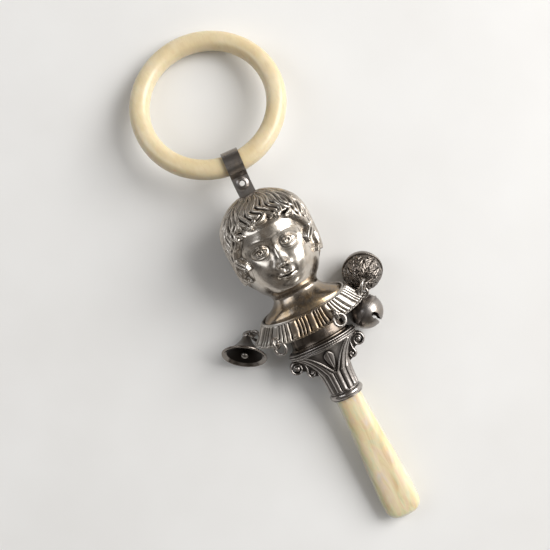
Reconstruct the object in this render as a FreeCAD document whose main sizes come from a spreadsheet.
import FreeCAD, Part

import math
import os
import re

import Sketcher
from FreeCAD import Placement, Rotation, Vector

# Silver bust rattle: a child's head over a pleated ruff and a fluted pedestal, with a mother-of-pearl
# handle below, a bone teething ring above and three bells on soldered eyes round the ruff.
#
# Working frame, in millimetres: X = 0 is the mouth of the ferrule and +X runs out along the handle, +Y is
# the figure's left and +Z is out of its face. Every sub-part is built in that frame, and one resting
# placement then lays the whole rattle on its back, on the plane Z = 0.

SIZES = [
    # alias, value (mm or degrees), note
    ("rest_tilt", 5.4, "slope of the long axis when the head's back and the handle's tip touch a table"),
    ("handle_length", 40.0, "visible length of the pearl handle"),
    ("handle_top_width", 8.0, "handle width at the ferrule"),
    ("handle_tip_width", 11.1, "handle width at its tip"),
    ("handle_thickness", 6.0, "handle thickness"),
    ("handle_tip_rise", 4.2, "how far the tip's curve reaches past its corners"),
    ("handle_edge_radius", 2.1, "rounding of the handle's long edges"),
    ("tang_length", 7.0, "tang inside the socket"),
    ("tang_width", 6.2, "tang width"),
    ("tang_thickness", 4.6, "tang thickness"),
    ("ferrule_length", 2.3, "length of the bead at the socket's mouth"),
    ("ferrule_radius", 5.1, "outer radius of the bead's crest"),
    ("ferrule_bore", 4.1, "inner radius of the bead"),
    ("socket_radius", 4.5, "outer radius of the pedestal's foot"),
    ("sheet_wall", 0.5, "thickness of the stamped silver sheet"),
    ("cement_length", 8.0, "length of the cement that holds the tang"),
    ("cement_radius", 3.9, "outer radius of the cement"),
    ("moulding_start", 16.1, "distance from the ferrule's mouth to the reeded moulding"),
    ("moulding_width", 2.1, "width of the reeded moulding along the axis"),
    ("moulding_half_width", 10.3, "half width of the moulding"),
    ("moulding_half_depth", 7.1, "half depth of the moulding"),
    ("waist_end", 26.4, "distance to the top of the plain waist"),
    ("ruff_middle", 27.4, "distance to the middle of the pleated ruff"),
    ("ruff_tilt", 15.0, "how much lower the ruff sits at the front, in degrees"),
    ("ruff_forward", 0.7, "how far the ruff's middle lies in front of the side seam"),
    ("ruff_half_height", 2.9, "half the ruff's height"),
    ("ruff_low_half_width", 16.6, "half width of the ruff's lower edge"),
    ("ruff_low_half_depth", 8.7, "half depth of the ruff's lower edge"),
    ("ruff_top_half_width", 13.6, "half width of the ruff's upper edge"),
    ("ruff_top_half_depth", 7.6, "half depth of the ruff's upper edge"),
    ("plate_inset", 0.8, "how far the base plate's rim lies inside the ruff's lower edge"),
    ("plate_thickness", 0.6, "thickness of the base plate"),
    ("shoulder_end", 28.0, "distance to the open lower end of the bust"),
    ("head_middle", 51.0, "distance to the middle of the head"),
    ("head_half_height", 14.8, "half the head's height, hair included"),
    ("head_half_width", 13.5, "half the head's width, hair included"),
    ("head_half_depth", 12.4, "half the head's depth, hair included"),
    ("head_forward", 1.1, "how far the head's middle lies in front of the side seam"),
    ("lug_width", 5.0, "width of the lug and of the strap"),
    ("lug_thickness", 1.0, "thickness of the crown lug"),
    ("lug_root", 64.4, "distance to the lug's inner end, inside the crown"),
    ("rivet_middle", 68.8, "distance to the hollow rivet"),
    ("rivet_radius", 1.15, "shank radius of the hollow rivet"),
    ("rivet_bore", 0.75, "radius of the hole through the rivet"),
    ("rivet_head_radius", 1.9, "radius of the rivet's two spread heads"),
    ("rivet_head_height", 0.4, "height of each spread head"),
    ("running_gap", 0.05, "clearance between parts that turn on each other"),
    ("solder_gap", 0.02, "solder between the ruff and the feet of its eyes"),
    ("strap_thickness", 0.6, "thickness of the strap"),
    ("strap_gap", 0.3, "clearance between the strap's loop and the bone ring"),
    ("strap_end", 66.4, "distance to the strap's rounded ends"),
    ("strap_bend", 70.8, "distance to the bend where the strap's legs part"),
    ("strap_wrap", 48.0, "angle from the axis at which the strap's legs leave its loop, in degrees"),
    ("strap_lean", 3.0, "rest turn of the strap on its rivet, in degrees"),
    ("ring_pivot", 74.9, "distance to the middle of the ring's tube inside the strap"),
    ("ring_radius", 20.1, "radius of the teething ring's centre line"),
    ("ring_tube", 3.1, "radius of the teething ring's tube"),
    ("ring_drop", 20.6, "rest angle of the ring's plane behind the long axis, in degrees"),
    ("eye_radius", 1.45, "centre-line radius of the eyes soldered to the ruff"),
    ("eye_wire", 0.45, "wire radius of the soldered eyes"),
    ("link_radius", 1.7, "centre-line radius of the jump rings"),
    ("link_wire", 0.45, "wire radius of the jump rings"),
    ("loop_radius", 1.0, "centre-line radius of the loops on the bells"),
    ("loop_wire", 0.32, "wire radius of the loops on the bells"),
    ("loop_stand", 0.85, "distance from a loop's centre to the bell's crown"),
    ("cone_height", 6.4, "height of the open bell"),
    ("cone_crown_radius", 1.3, "crown radius of the open bell"),
    ("cone_mouth_radius", 6.7, "mouth radius of the open bell"),
    ("cone_flare", 12.0, "radius of the open bell's hollow flare"),
    ("clapper_radius", 1.2, "radius of the clapper's ball"),
    ("clapper_reach", 4.0, "distance from the clapper's pivot to its ball"),
    ("clapper_lean", 10.0, "rest angle of the clapper below the open bell's axis, in degrees"),
    ("clapper_wire", 0.32, "radius of the clapper's wire"),
    ("ball_radius", 5.8, "outer radius of the engraved ball bell"),
    ("pod_radius", 5.15, "outer radius of the plain ball bell"),
    ("bell_wall", 0.4, "wall of the ball bells"),
    ("seam_rise", 0.22, "how far a ball bell's seam band stands out"),
    ("seam_width", 0.5, "width of a ball bell's seam band"),
    ("slot_width", 1.1, "width of the sound slot in a ball bell"),
    ("slot_hole", 0.95, "radius of the round holes at the slot's ends"),
    ("slot_angle", 48.0, "angle from the pole to the slot's round ends, in degrees"),
    ("pea_radius", 1.5, "radius of the loose pea in a ball bell"),
    ("scroll_depth", 3.6, "thickness of the side scrolls from front to back"),
]
ALIASES = {alias for alias, _, _ in SIZES}

# Sections of the bust below the head, of the waist and of the pedestal: distance from the ferrule's
# mouth, half width and half depth.
NECK = [
    ("40", "7.2", "6.6"),
    ("35", "6.9", "6.2"),
    ("33", "8.0", "6.6"),
    ("30.8", "11.8", "7.4"),
    ("29.4", "13.0", "7.8"),
    ("shoulder_end", "13.2", "7.9"),
]
WAIST = [
    ("waist_end", "8.3", "5.8"),
    ("21.5", "8.4", "5.9"),
    ("moulding_start + moulding_width", "9.6", "6.7"),
]
PEDESTAL = [
    ("moulding_start", "9.4", "6.5"),
    ("14.6", "7.9", "5.9"),
    ("12.5", "6.4", "5.4"),
    ("10", "5.3", "5.0"),
    ("7", "4.7", "4.7"),
    ("ferrule_length", "socket_radius", "socket_radius"),
]

# Eyes round the ruff: the angle of the eye's place on the ruff's oval, from the figure's left towards its
# front, its distance above the ruff's middle, and that of its centre from the ruff. The directions, in the
# working frame, run from the eye's centre to the jump ring's seat on its wire (hook), on to the jump ring's
# centre (fall), to the seat of the bell's loop on the jump ring (reach), to the loop's centre (hang) and
# along the bell (bell). Each is taken square to the wire that it turns on.
EYES = {
    "left": {
        "place": 14.8,
        "level": -1.31,
        "stand": 1.83,
        "hook": (-0.86, 0.46, 0.23),
        "fall": (-0.80, 0.26, 0.55),
        "reach": (-0.32, 0.58, -0.75),
        "hang": (-0.45, -0.86, -0.25),
        "bell": (-0.35, 0.21, -0.91),
    },
    "right": {
        "place": 203.0,
        "level": -1.08,
        "stand": 2.7,
        "hook": (-0.45, -0.70, -0.56),
        "fall": (-0.43, -0.47, -0.77),
        "reach": (0.04, -0.56, 0.83),
        "hang": (-0.22, 0.62, -0.76),
        "bell": (0.68, -0.47, 0.56),
    },
    "back": {
        "place": -43.8,
        "level": -2.6,
        "stand": 1.75,
        "hook": (0.65, -0.37, 0.67),
        "fall": (0.64, -0.22, 0.74),
        "reach": (0.45, 0.38, 0.81),
        "hang": (-0.21, 0.06, 0.98),
        "bell": (0.84, 0.50, 0.21),
    },
    "front_left": {
        "place": 66,
        "level": -1.0,
        "stand": 2.0,
        "hook": (0.97, 0.25, 0.0),
        "fall": (0.80, 0.60, 0.0),
    },
    "front_right": {
        "place": 133,
        "level": -1.5,
        "stand": 2.3,
        "hook": (1.0, 0.0, 0.0),
        "fall": (0.75, 0.60, 0.33),
    },
}

# Side scrolls, on the figure's left: each volute's middle and radius, and the corners of the web that joins
# the volutes to the pedestal.
VOLUTES = {"upper": ("-13.75", "9.8", "2.1"), "lower": ("-10.7", "6.5", "1.3")}
SCROLL_WEB = [
    ("-moulding_start", "4.0"),
    ("-moulding_start", "9.4"),
    ("-13.75", "11.0"),
    ("-11.9", "8.6"),
    ("-10.7", "7.6"),
    ("-9.2", "4.6"),
]

TO_X = Rotation(Vector(0, 1, 0), 90)  # turns a part's own Z to the working frame's X
TO_OVAL = Rotation(Vector(1, 1, 1), 120)  # turns an ellipse's own X and Y to Y and Z

doc = FreeCAD.newDocument("rattle")
sheet = doc.addObject("Spreadsheet::Sheet", "Sizes")
for row, (alias, value, note) in enumerate(SIZES, 1):
    sheet.set(f"A{row}", note)
    sheet.set(f"B{row}", str(value))
    sheet.setAlias(f"B{row}", alias)
doc.recompute()

nodes = {}


def ref(text):
    """An expression over the sheet's aliases, written the way other objects have to name them."""
    return re.sub(r"[a-z]\w*", lambda m: f"Sizes.{m.group()}" if m.group() in ALIASES else m.group(), text)


def size(text):
    """What such an expression is worth."""
    return float(sheet.evalExpression(ref(text)))


def bind(obj, **sizes):
    for name, text in sizes.items():
        obj.setExpression(name, ref(text))
    return obj


def primitive(kind, label, placement=None, **sizes):
    obj = bind(doc.addObject(f"Part::{kind}", label), **sizes)
    obj.Placement = placement or Placement()
    return obj


def block(label, low, high):
    """A box between two corners."""
    obj = doc.addObject("Part::Box", label)
    obj.Placement.Base = Vector(*[size(text) for text in low])
    for name, a, b in zip(("Length", "Width", "Height"), low, high):
        obj.setExpression(name, ref(f"({b}) - ({a})"))
    return obj


def cut(label, base, tool):
    obj = doc.addObject("Part::Cut", label)
    obj.Base, obj.Tool = base, tool
    return obj


def common(label, base, tool):
    obj = doc.addObject("Part::Common", label)
    obj.Base, obj.Tool = base, tool
    return obj


def fuse(label, *shapes):
    obj = doc.addObject("Part::MultiFuse", label)
    obj.Shapes = list(shapes)
    return obj


def node(name, obj, placement=None):
    """Names a sub-part. Its placement in the working frame goes on top of the shape's own."""
    obj.Label = name
    nodes[name] = (obj, placement or Placement())
    return obj


def origin(body, role):
    return next(feature for feature in body.Origin.OriginFeatures if feature.Role == role)


def arc(start, end, radius):
    """The short arc between two points. It bulges to the left of the way it runs, or right if radius < 0."""
    chord = end - start
    half = chord.Length / 2
    left = Vector(-chord.y, chord.x, 0).normalize()
    rise = abs(radius) - math.sqrt(max(radius * radius - half * half, 0))
    return Part.Arc(start, (start + end) * 0.5 + left * math.copysign(rise, radius), end)


def outline(body, label, plane, corners):
    """A closed sketch through corners given as pairs of expressions. A third entry makes the edge that
    leads to the corner an arc of that radius."""
    sketch = body.newObject("Sketcher::SketchObject", label)
    sketch.AttachmentSupport = (origin(body, plane), [""])
    sketch.MapMode = "FlatFace"
    points = [Vector(size(x), size(y), 0) for x, y, *_ in corners]
    for i, (_, _, *radius) in enumerate(corners):
        start, end = points[i - 1], points[i]
        sketch.addGeometry(arc(start, end, size(radius[0])) if radius else Part.LineSegment(start, end))
    last = [2 if (sketch.getPoint(i, 2) - point).Length < 1e-6 else 1 for i, point in enumerate(points)]
    for i, (x, y, *radius) in enumerate(corners):
        following = (i + 1) % len(corners)
        sketch.addConstraint(Sketcher.Constraint("Coincident", i, last[i], following, 3 - last[following]))
        for kind, text, axis in (("DistanceX", x, -2), ("DistanceY", y, -1)):
            if abs(size(text)) < 1e-9:
                sketch.addConstraint(Sketcher.Constraint("PointOnObject", i, last[i], axis))
                continue
            place = sketch.addConstraint(Sketcher.Constraint(kind, -1, 1, i, last[i], size(text)))
            sketch.setExpression(f"Constraints[{place}]", ref(text))
        if radius:
            place = sketch.addConstraint(Sketcher.Constraint("Radius", i, abs(size(radius[0]))))
            sketch.setExpression(f"Constraints[{place}]", ref(f"abs({radius[0]})"))
    return sketch


def pad(body, label, sketch, thickness):
    feature = body.newObject("PartDesign::Pad", label)
    feature.Profile = sketch
    feature.SideType = "Symmetric"
    return bind(feature, Length=thickness)


def turned(label, profile):
    """A body turned about its own Z from a profile of radius and height."""
    body = doc.addObject("PartDesign::Body", label)
    feature = body.newObject("PartDesign::Revolution", f"{label}_turn")
    feature.Profile = outline(body, f"{label}_profile", "XZ_Plane", profile)
    feature.ReferenceAxis = (origin(body, "Z_Axis"), [""])
    feature.Angle = 360
    return body


def lofted(label, stations, inset="0"):
    """A solid through oval sections across X, each inset by a wall."""
    sections = []
    for i, (distance, half_width, half_depth) in enumerate(stations):
        oval = primitive(
            "Ellipse",
            f"{label}_{i}",
            Placement(Vector(), TO_OVAL),
            MajorRadius=f"({half_width}) - {inset}",
            MinorRadius=f"({half_depth}) - {inset}",
        )
        oval.setExpression("Placement.Base.x", ref(f"-({distance})"))
        sections.append(oval)
    loft = doc.addObject("Part::Loft", label)
    loft.Sections, loft.Solid = sections, True
    return loft


def hollow(label, stations, wall="sheet_wall"):
    return cut(label, lofted(f"{label}_outside", stations), lofted(f"{label}_inside", stations, wall))


def halves(label, shape, slot=None):
    """The front and back stampings of a hollow shape, which meet on the side seam."""
    reach = "100"
    front = block(f"{label}_front_space", (f"-{reach}", f"-{reach}", "0"), (reach, reach, reach))
    back = block(f"{label}_back_space", (f"-{reach}", f"-{reach}", f"-{reach}"), (reach, reach, "0"))
    for side, space in (("front", front), ("back", back)):
        half = common(f"{label}_{side}_half", shape, space)
        node(f"{label}_{side}_shell", cut(f"{label}_{side}_slotted", half, slot) if slot else half)


def handle():
    """Mother-of-pearl blade with a rounded tip and a tang that goes into the socket."""
    body = doc.addObject("PartDesign::Body", "handle")
    corner = "handle_length - handle_tip_rise"
    half_top, half_tip = "handle_top_width / 2", "handle_tip_width / 2"
    tip_arc = f"(({half_tip}) * ({half_tip}) / handle_tip_rise + handle_tip_rise) / 2"
    blade = [
        ("0", f"-({half_top})"),
        (corner, f"-({half_tip})"),
        (corner, half_tip, f"-({tip_arc})"),
        ("0", half_top),
    ]
    solid = pad(body, "blade", outline(body, "blade_outline", "XY_Plane", blade), "handle_thickness")
    doc.recompute()
    face = size("handle_thickness / 2")
    edges = [
        f"Edge{i}"
        for i, edge in enumerate(solid.Shape.Edges, 1)
        if abs(abs(edge.CenterOfMass.z) - face) < 1e-6 and edge.CenterOfMass.x > 1e-6
    ]
    round_over = body.newObject("PartDesign::Fillet", "blade_edges")
    round_over.Base = (solid, edges)
    bind(round_over, Radius="handle_edge_radius")
    tang = [
        ("-tang_length", "-tang_width / 2"),
        ("0", "-tang_width / 2"),
        ("0", "tang_width / 2"),
        ("-tang_length", "tang_width / 2"),
    ]
    pad(body, "tang", outline(body, "tang_outline", "XY_Plane", tang), "tang_thickness")
    return body


def ferrule():
    """Beaded ring that closes the pedestal's foot."""
    half, rise = "(ferrule_length / 2)", "(ferrule_radius - socket_radius)"
    bead = f"({half} * {half} + {rise} * {rise}) / (2 * {rise})"
    return turned(
        "ferrule",
        [
            ("ferrule_bore", "0"),
            ("socket_radius", "0"),
            ("socket_radius", "ferrule_length", f"-({bead})"),
            ("ferrule_bore", "ferrule_length"),
        ],
    )


def cement():
    """Pitch that fills the foot round the tang."""
    half_width, half_thickness = "tang_width / 2", "tang_thickness / 2"
    low = ("-tang_length", f"-{half_width}", f"-{half_thickness}")
    tang = block("tang_space", low, ("0", half_width, half_thickness))
    plug = primitive(
        "Cylinder",
        "cement_plug",
        Placement(Vector(-size("cement_length"), 0, 0), TO_X),
        Radius="cement_radius",
        Height="cement_length - 0.1",
    )
    return cut("cement", plug, tang)


def scroll(side):
    """S-scroll on one side of the pedestal: a large volute under the moulding and a small one below it."""
    shapes = []
    for name, (x, y, radius) in VOLUTES.items():
        centre = Vector(size(x), side * size(y), -size("scroll_depth / 2"))
        volute = primitive("Cylinder", f"{name}_volute", Placement(centre, Rotation()), Radius=radius)
        shapes.append(bind(volute, Height="scroll_depth"))
    body = doc.addObject("PartDesign::Body", "scroll_web")
    web = [(x, f"{side} * {y}") for x, y in SCROLL_WEB]
    pad(body, "web", outline(body, "web_outline", "XY_Plane", web), "scroll_depth")
    return fuse("scroll", *shapes, body)


def strap():
    """Strip folded round the bone ring, with two rounded ends for the rivet."""
    body = doc.addObject("PartDesign::Body", "strap_fold")
    inner, outer = "(ring_tube + strap_gap)", "(ring_tube + strap_gap + strap_thickness)"
    near, far = "(lug_thickness / 2 + running_gap)", "(lug_thickness / 2 + running_gap + strap_thickness)"

    def on_loop(radius, up):
        return (f"-ring_pivot + {radius} * cos(strap_wrap)", f"{up} * {radius} * sin(strap_wrap)")

    fold = [
        ("-strap_end", far),
        ("-strap_bend", far),
        on_loop(outer, 1),
        (f"-ring_pivot - {outer}", "0", f"-{outer}"),
        (*on_loop(outer, -1), f"-{outer}"),
        ("-strap_bend", f"-{far}"),
        ("-strap_end", f"-{far}"),
        ("-strap_end", f"-{near}"),
        ("-strap_bend", f"-{near}"),
        on_loop(inner, -1),
        (f"-ring_pivot - {inner}", "0", inner),
        (*on_loop(inner, 1), inner),
        ("-strap_bend", near),
        ("-strap_end", near),
    ]
    pad(body, "fold", outline(body, "fold_outline", "XZ_Plane", fold), "lug_width")
    shape = tongue("strap_shape", f"-ring_pivot - {outer} - 1", "-rivet_middle", "2 * ring_pivot")
    return common("strap_rounded", body, shape)


def tongue(label, low, high, thickness):
    """A strip as wide as the lug between two distances, and a round end about the rivet."""
    half, reach = "lug_width / 2", f"{thickness} / 2"
    strip = block(f"{label}_strip", (low, f"-{half}", f"-{reach}"), (high, half, reach))
    end = primitive(
        "Cylinder",
        f"{label}_end",
        Placement(Vector(-size("rivet_middle"), 0, -size(reach)), Rotation()),
        Radius=half,
        Height=thickness,
    )
    return fuse(label, strip, end)


def rivet_hole(label, radius="rivet_radius + running_gap"):
    return primitive(
        "Cylinder",
        label,
        Placement(Vector(-size("rivet_middle"), 0, -5), Rotation()),
        Radius=radius,
        Height="10",
    )


def crown_lug():
    """Flat lug held between the two halves of the crown."""
    blank = tongue("lug_blank", "-rivet_middle", "-lug_root", "lug_thickness")
    return cut("lug", blank, rivet_hole("lug_hole", "rivet_radius"))


def hollow_rivet():
    """Tube rivet, spread over the strap's two ends."""
    grip = "(lug_thickness / 2 + strap_thickness + running_gap * 2)"
    profile = [
        ("rivet_bore", f"-{grip} - rivet_head_height * 0.4"),
        ("rivet_bore + 0.25", f"-{grip} - rivet_head_height"),
        ("rivet_head_radius", f"-{grip}", "-rivet_head_radius * 0.8"),
        ("rivet_radius", f"-{grip}"),
        ("rivet_radius", grip),
        ("rivet_head_radius", grip),
        ("rivet_bore + 0.25", f"{grip} + rivet_head_height", "-rivet_head_radius * 0.8"),
        ("rivet_bore", f"{grip} + rivet_head_height * 0.4"),
    ]
    return turned("rivet", profile)


def wire_ring(label, radius, wire):
    """A closed ring of wire round its own Z."""
    return primitive("Torus", label, Radius1=radius, Radius2=wire)


def soldered_eye(eye, places):
    """A ring of wire on a short foot."""
    ring = wire_ring("eye_ring", "eye_radius", "eye_wire")
    ring.Placement = places["eye"]
    foot = primitive(
        "Cone",
        "eye_foot",
        places["stand"].multiply(Placement(Vector(0, 0, -0.5), Rotation())),
        Radius1="eye_wire * 2.2",
        Radius2="eye_wire * 0.9",
        Height=f"{eye['stand']} - eye_radius + 0.5",
    )
    return fuse("eye_blank", ring, foot)


def bell_loop(label, crown):
    """Loop on a bell: it stands in the plane across its own X, and ends on the bell's crown."""
    ring = wire_ring(f"{label}_wire", "loop_radius", "loop_wire")
    ring.Placement = Placement(Vector(), TO_X)
    return cut(label, ring, crown)


def cone_bell():
    """Open bell with a hollow flare and a rolled lip, round its own Z from its loop's centre."""
    crown, mouth = "loop_stand", "(loop_stand + cone_height)"
    profile = [
        ("0", crown),
        ("cone_crown_radius", crown),
        ("cone_mouth_radius - 0.25", f"{mouth} - 0.45", "cone_flare"),
        ("cone_mouth_radius", mouth, "-0.5"),
        ("cone_mouth_radius - 0.55", mouth),
        ("cone_crown_radius - 0.3", f"{crown} + sheet_wall", "-cone_flare"),
        ("0", f"{crown} + sheet_wall"),
    ]
    return turned("cone_bell_wall", profile)


def clapper():
    """Ball on a wire inside the open bell, round its own Z from its pivot."""
    wire = primitive("Cylinder", "clapper_wire_rod", Radius="clapper_wire", Height="clapper_reach")
    ball = primitive("Sphere", "clapper_ball", Radius="clapper_radius")
    ball.Placement.Base = Vector(0, 0, size("clapper_reach"))
    return fuse("clapper_shape", wire, ball)


def ball_bell(label, radius):
    """The two halves of a ball bell, round Z from its loop's centre. The far half holds the slot."""
    middle = size(f"loop_stand + {radius}")
    at_middle = Placement(Vector(0, 0, middle), Rotation())
    near = primitive("Sphere", f"{label}_near", at_middle, Radius=radius, Angle2="0")
    far = primitive("Sphere", f"{label}_far", at_middle, Radius=radius, Angle1="0")
    inside = primitive("Sphere", f"{label}_inside", at_middle, Radius=f"{radius} - bell_wall")
    ring = primitive(
        "Cylinder",
        f"{label}_band_blank",
        Placement(Vector(0, 0, middle - size("seam_width") / 2), Rotation()),
        Radius=f"{radius} + seam_rise",
        Height="seam_width",
    )
    full = primitive("Sphere", f"{label}_full", at_middle, Radius=radius)
    band = cut(f"{label}_band", ring, full)
    reach, half_slot = f"({radius} * sin(slot_angle))", "slot_width / 2"
    depth = f"(loop_stand + {radius} * 1.3)"
    top = f"(loop_stand + {radius} * 2.2)"
    slot = block(f"{label}_slot", (f"-{half_slot}", f"-{reach}", depth), (half_slot, reach, top))
    holes = [
        primitive(
            "Cylinder",
            f"{label}_hole_{side}",
            Placement(Vector(0, side * size(reach), size(depth)), Rotation()),
            Radius="slot_hole",
            Height=radius,
        )
        for side in (-1, 1)
    ]
    upper = cut(f"{label}_upper_half", near, inside)
    lower = cut(f"{label}_lower_half", fuse(f"{label}_far_banded", far, band), inside)
    return upper, cut(f"{label}_lower_slotted", lower, fuse(f"{label}_opening", slot, *holes)), full


def frame(at, along, across):
    """The placement whose Z runs along one direction and whose X runs as near as it can to another."""
    z = Vector(*along).normalize()
    y = z.cross(across).normalize()
    return Placement(at, Rotation(y.cross(z), y, z, "ZXY"))


def square(direction, wire):
    """The unit vector nearest to a direction that is square to a wire."""
    direction = Vector(*direction)
    return (direction - wire * direction.dot(wire)).normalize()


def hanging(eye):
    """Where an eye, its jump ring and the bell on that ring go, and the axes that they turn about."""
    place, level = math.radians(eye["place"]), eye["level"]
    share = (level / size("ruff_half_height") + 1) / 2
    low_y, top_y = size("ruff_low_half_width"), size("ruff_top_half_width")
    low_z, top_z = size("ruff_low_half_depth"), size("ruff_top_half_depth")
    half_y, half_z = low_y + (top_y - low_y) * share, low_z + (top_z - low_z) * share
    slope = Rotation(Vector(0, 1, 0), size("ruff_tilt"))
    on_oval = slope.multVec(Vector(-level, half_y * math.cos(place), half_z * math.sin(place)))
    surface = on_oval + Vector(-size("ruff_middle"), 0, size("ruff_forward"))
    outward = Vector(0, math.cos(place) / half_y, math.sin(place) / half_z).normalize()
    link_play = size("link_radius - link_wire - eye_wire - running_gap")
    loop_play = size("loop_radius - loop_wire - link_wire - running_gap")

    centre = surface + outward * eye["stand"]
    normal = outward.cross(Vector(1, 0, 0)).normalize()
    hook = square(eye["hook"], normal)
    pin = centre + hook * size("eye_radius")
    wire = normal.cross(hook)
    link_centre = pin + square(eye["fall"], wire) * link_play
    found = {"eye": frame(centre, normal, outward), "link": frame(link_centre, wire, hook)}
    found["stand"] = frame(surface, outward, normal)
    found["link_joint"] = (pin, wire)
    if "bell" not in eye:
        return found
    reach = square(eye["reach"], wire)
    pin = link_centre + reach * size("link_radius")
    link_wire = wire.cross(reach)
    loop_centre = pin + square(eye["hang"], link_wire) * loop_play
    found["bell"] = frame(loop_centre, eye["bell"], link_wire)
    found["bell_joint"] = (pin, link_wire)
    return found


def build_body():
    """Everything that is soldered, cemented or pressed together."""
    node("pearl_handle", handle())
    node("ferrule", ferrule(), Placement(Vector(-size("ferrule_length"), 0, 0), TO_X))
    node("pitch_cement", cement())
    pedestal = hollow("pedestal", PEDESTAL)
    halves("pedestal", pedestal)
    core = lofted("pedestal_core", PEDESTAL)
    for name, side in (("left", 1), ("right", -1)):
        node(f"scroll_bracket_{name}", cut("scroll_seated", scroll(side), core))
    rim = [("moulding_start", "moulding_half_width", "moulding_half_depth")]
    rim.append(("moulding_start + moulding_width", *rim[0][1:]))
    node("reeded_moulding", hollow("moulding", rim, "1.1"))
    node("waist_cup", hollow("waist", WAIST))

    middle = Vector(-size("ruff_middle"), 0, size("ruff_forward"))
    slope = Placement(middle, Rotation(Vector(0, 1, 0), size("ruff_tilt")))
    edges = [
        ("ruff_half_height", "ruff_top_half_width", "ruff_top_half_depth"),
        ("-ruff_half_height", "ruff_low_half_width", "ruff_low_half_depth"),
    ]
    band = hollow("ruff_band", edges)
    band.Placement = slope
    blank = lofted("ruff_blank", edges, "(-solder_gap)")
    blank.Placement = slope
    oval = ("ruff_low_half_width - plate_inset", "ruff_low_half_depth - plate_inset")
    faces = [("-ruff_half_height", *oval), ("-ruff_half_height + plate_thickness", *oval)]
    plate = lofted("plate_blank", faces)
    plate.Placement = slope

    neck, neck_inside = lofted("neck", NECK), lofted("neck_inside", NECK, "sheet_wall")
    skulls = []
    for label, inset in (("skull", "0"), ("skull_inside", "sheet_wall")):
        middle = Vector(-size("head_middle"), 0, size("head_forward"))
        skulls.append(
            primitive(
                "Ellipsoid",
                label,
                Placement(middle, TO_X),
                Radius1=f"head_half_height - {inset}",
                Radius2=f"head_half_depth - {inset}",
                Radius3=f"head_half_width - {inset}",
            )
        )
    solid_bust = fuse("bust_solid", skulls[0], neck)
    bust = cut("bust_hollow", solid_bust, fuse("bust_space", skulls[1], neck_inside))
    node("crown_lug", crown_lug())
    halves("bust", bust, tongue("lug_slot", "-rivet_middle", "-lug_root", "lug_thickness"))
    node("pleated_ruff", cut("ruff_seated", band, solid_bust))
    node("base_plate", cut("plate_seated", plate, lofted("waist_core", WAIST)))
    node(
        "hollow_rivet",
        hollow_rivet(),
        Placement(Vector(-size("rivet_middle"), 0, 0), Rotation()),
    )
    return blank


def build_ring():
    """The strap, turned a little on its rivet, and the bone ring lying back from it."""
    rivet = Vector(-size("rivet_middle"), 0, 0)
    lean = Placement(Vector(), Rotation(Vector(0, 0, 1), -size("strap_lean")), rivet)
    node("hanger_strap", cut("strap", strap(), rivet_hole("strap_hole")), lean)
    drop = Rotation(Vector(0, 1, 0), -size("ring_drop"))
    pivot = Vector(-size("ring_pivot"), 0, 0)
    centre = pivot + drop.multVec(Vector(-size("ring_radius"), 0, 0))
    ring = wire_ring("ring", "ring_radius", "ring_tube")
    node("teething_ring", ring, lean.multiply(Placement(centre, drop)))
    found = {"strap": (rivet, Vector(0, 0, 1))}
    found["ring"] = (lean.multVec(pivot), lean.Rotation.multVec(Vector(0, 1, 0)))
    return found


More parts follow.
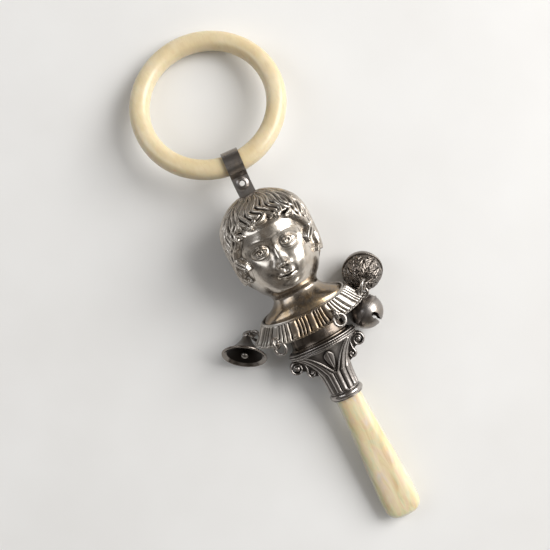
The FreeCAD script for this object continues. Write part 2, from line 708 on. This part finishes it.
def build_bells(ruff_blank):
    """Eyes, jump rings and bells. Returns each joint as a point and an axis."""
    found = {}
    for name, eye in EYES.items():
        places = hanging(eye)
        node(f"ruff_eye_{name}", cut("eye", soldered_eye(eye, places), ruff_blank))
        node(f"jump_ring_{name}", wire_ring("jump_ring", "link_radius", "link_wire"), places["link"])
        found[f"jump_ring_{name}"] = places["link_joint"]
        if "bell_joint" in places:
            found[f"bell_{name}"] = places["bell_joint"]

    at = hanging(EYES["right"])["bell"]
    wall = cone_bell()
    crown = block("cone_crown", ("-5", "-5", "loop_stand"), ("5", "5", "10"))
    node("cone_bell", wall, at)
    node("cone_bell_loop", bell_loop("cone_loop", crown), at)
    along = at.Rotation.multVec(Vector(0, 0, 1))
    swing_axis = square((0, 0, -1), along).cross(along)
    pivot = at.multVec(Vector(0, 0, size("loop_stand + sheet_wall + clapper_wire + running_gap")))
    hung = Rotation(swing_axis, -size("clapper_lean")).multVec(along)
    node("cone_clapper", clapper(), frame(pivot, hung, swing_axis))
    found["clapper"] = (pivot, swing_axis)

    balls = (("left", "engraved_ball", "ball_radius"), ("back", "plain_ball", "pod_radius"))
    for name, label, radius in balls:
        at = hanging(EYES[name])["bell"]
        upper, lower, full = ball_bell(label, radius)
        node(f"{label}_upper", upper, at)
        node(f"{label}_lower", lower, at)
        node(f"{label}_loop", bell_loop(f"{label}_ear", full), at)
        middle = at.multVec(Vector(0, 0, size(f"loop_stand + {radius}")))
        drop = size(f"{radius} - bell_wall - pea_radius - 0.1")
        lowest = middle + Rotation(Vector(0, 1, 0), -size("rest_tilt")).multVec(Vector(0, 0, -drop))
        pea = primitive("Sphere", f"{label}_shot", Radius="pea_radius")
        node(f"{label}_pea", pea, Placement(lowest, Rotation()))
    return found


def resting_placement():
    """Lays the rattle on its back, sloping by rest_tilt, with its footprint's centre at the origin."""
    tilt = Placement(Vector(), Rotation(Vector(0, 1, 0), size("rest_tilt")))
    box = FreeCAD.BoundBox()
    for obj, placement in nodes.values():
        shape = obj.Shape.copy()
        shape.Placement = tilt.multiply(placement).multiply(shape.Placement)
        box.add(shape.optimalBoundingBox(False))
    return Placement(Vector(-box.Center.x, -box.Center.y, -box.ZMin), Rotation()).multiply(tilt)


def check(objects):
    for obj in objects:
        if {"Invalid", "Error"} & set(obj.State):
            raise RuntimeError(f"{obj.Label} failed: {obj.State}")


blank = build_body()
joints = build_ring()
joints.update(build_bells(blank))
doc.recompute()
check(doc.Objects)
rest = resting_placement()
for obj, placement in nodes.values():
    obj.Placement = rest.multiply(placement).multiply(obj.Placement)
doc.recompute()
check(doc.Objects)

os.makedirs("parts", exist_ok=True)
for name, (obj, _) in nodes.items():
    if obj.Shape.isNull() or not obj.Shape.isValid() or obj.Shape.Volume <= 0:
        raise RuntimeError(f"{name} has no valid solid")
    obj.Shape.exportStep(f"parts/{name}.step")
print(f"{len(nodes)} sub-parts written")
for name, (point, axis) in joints.items():
    print(f"{name}: at {rest.multVec(point)} mm, about {rest.Rotation.multVec(axis)}")
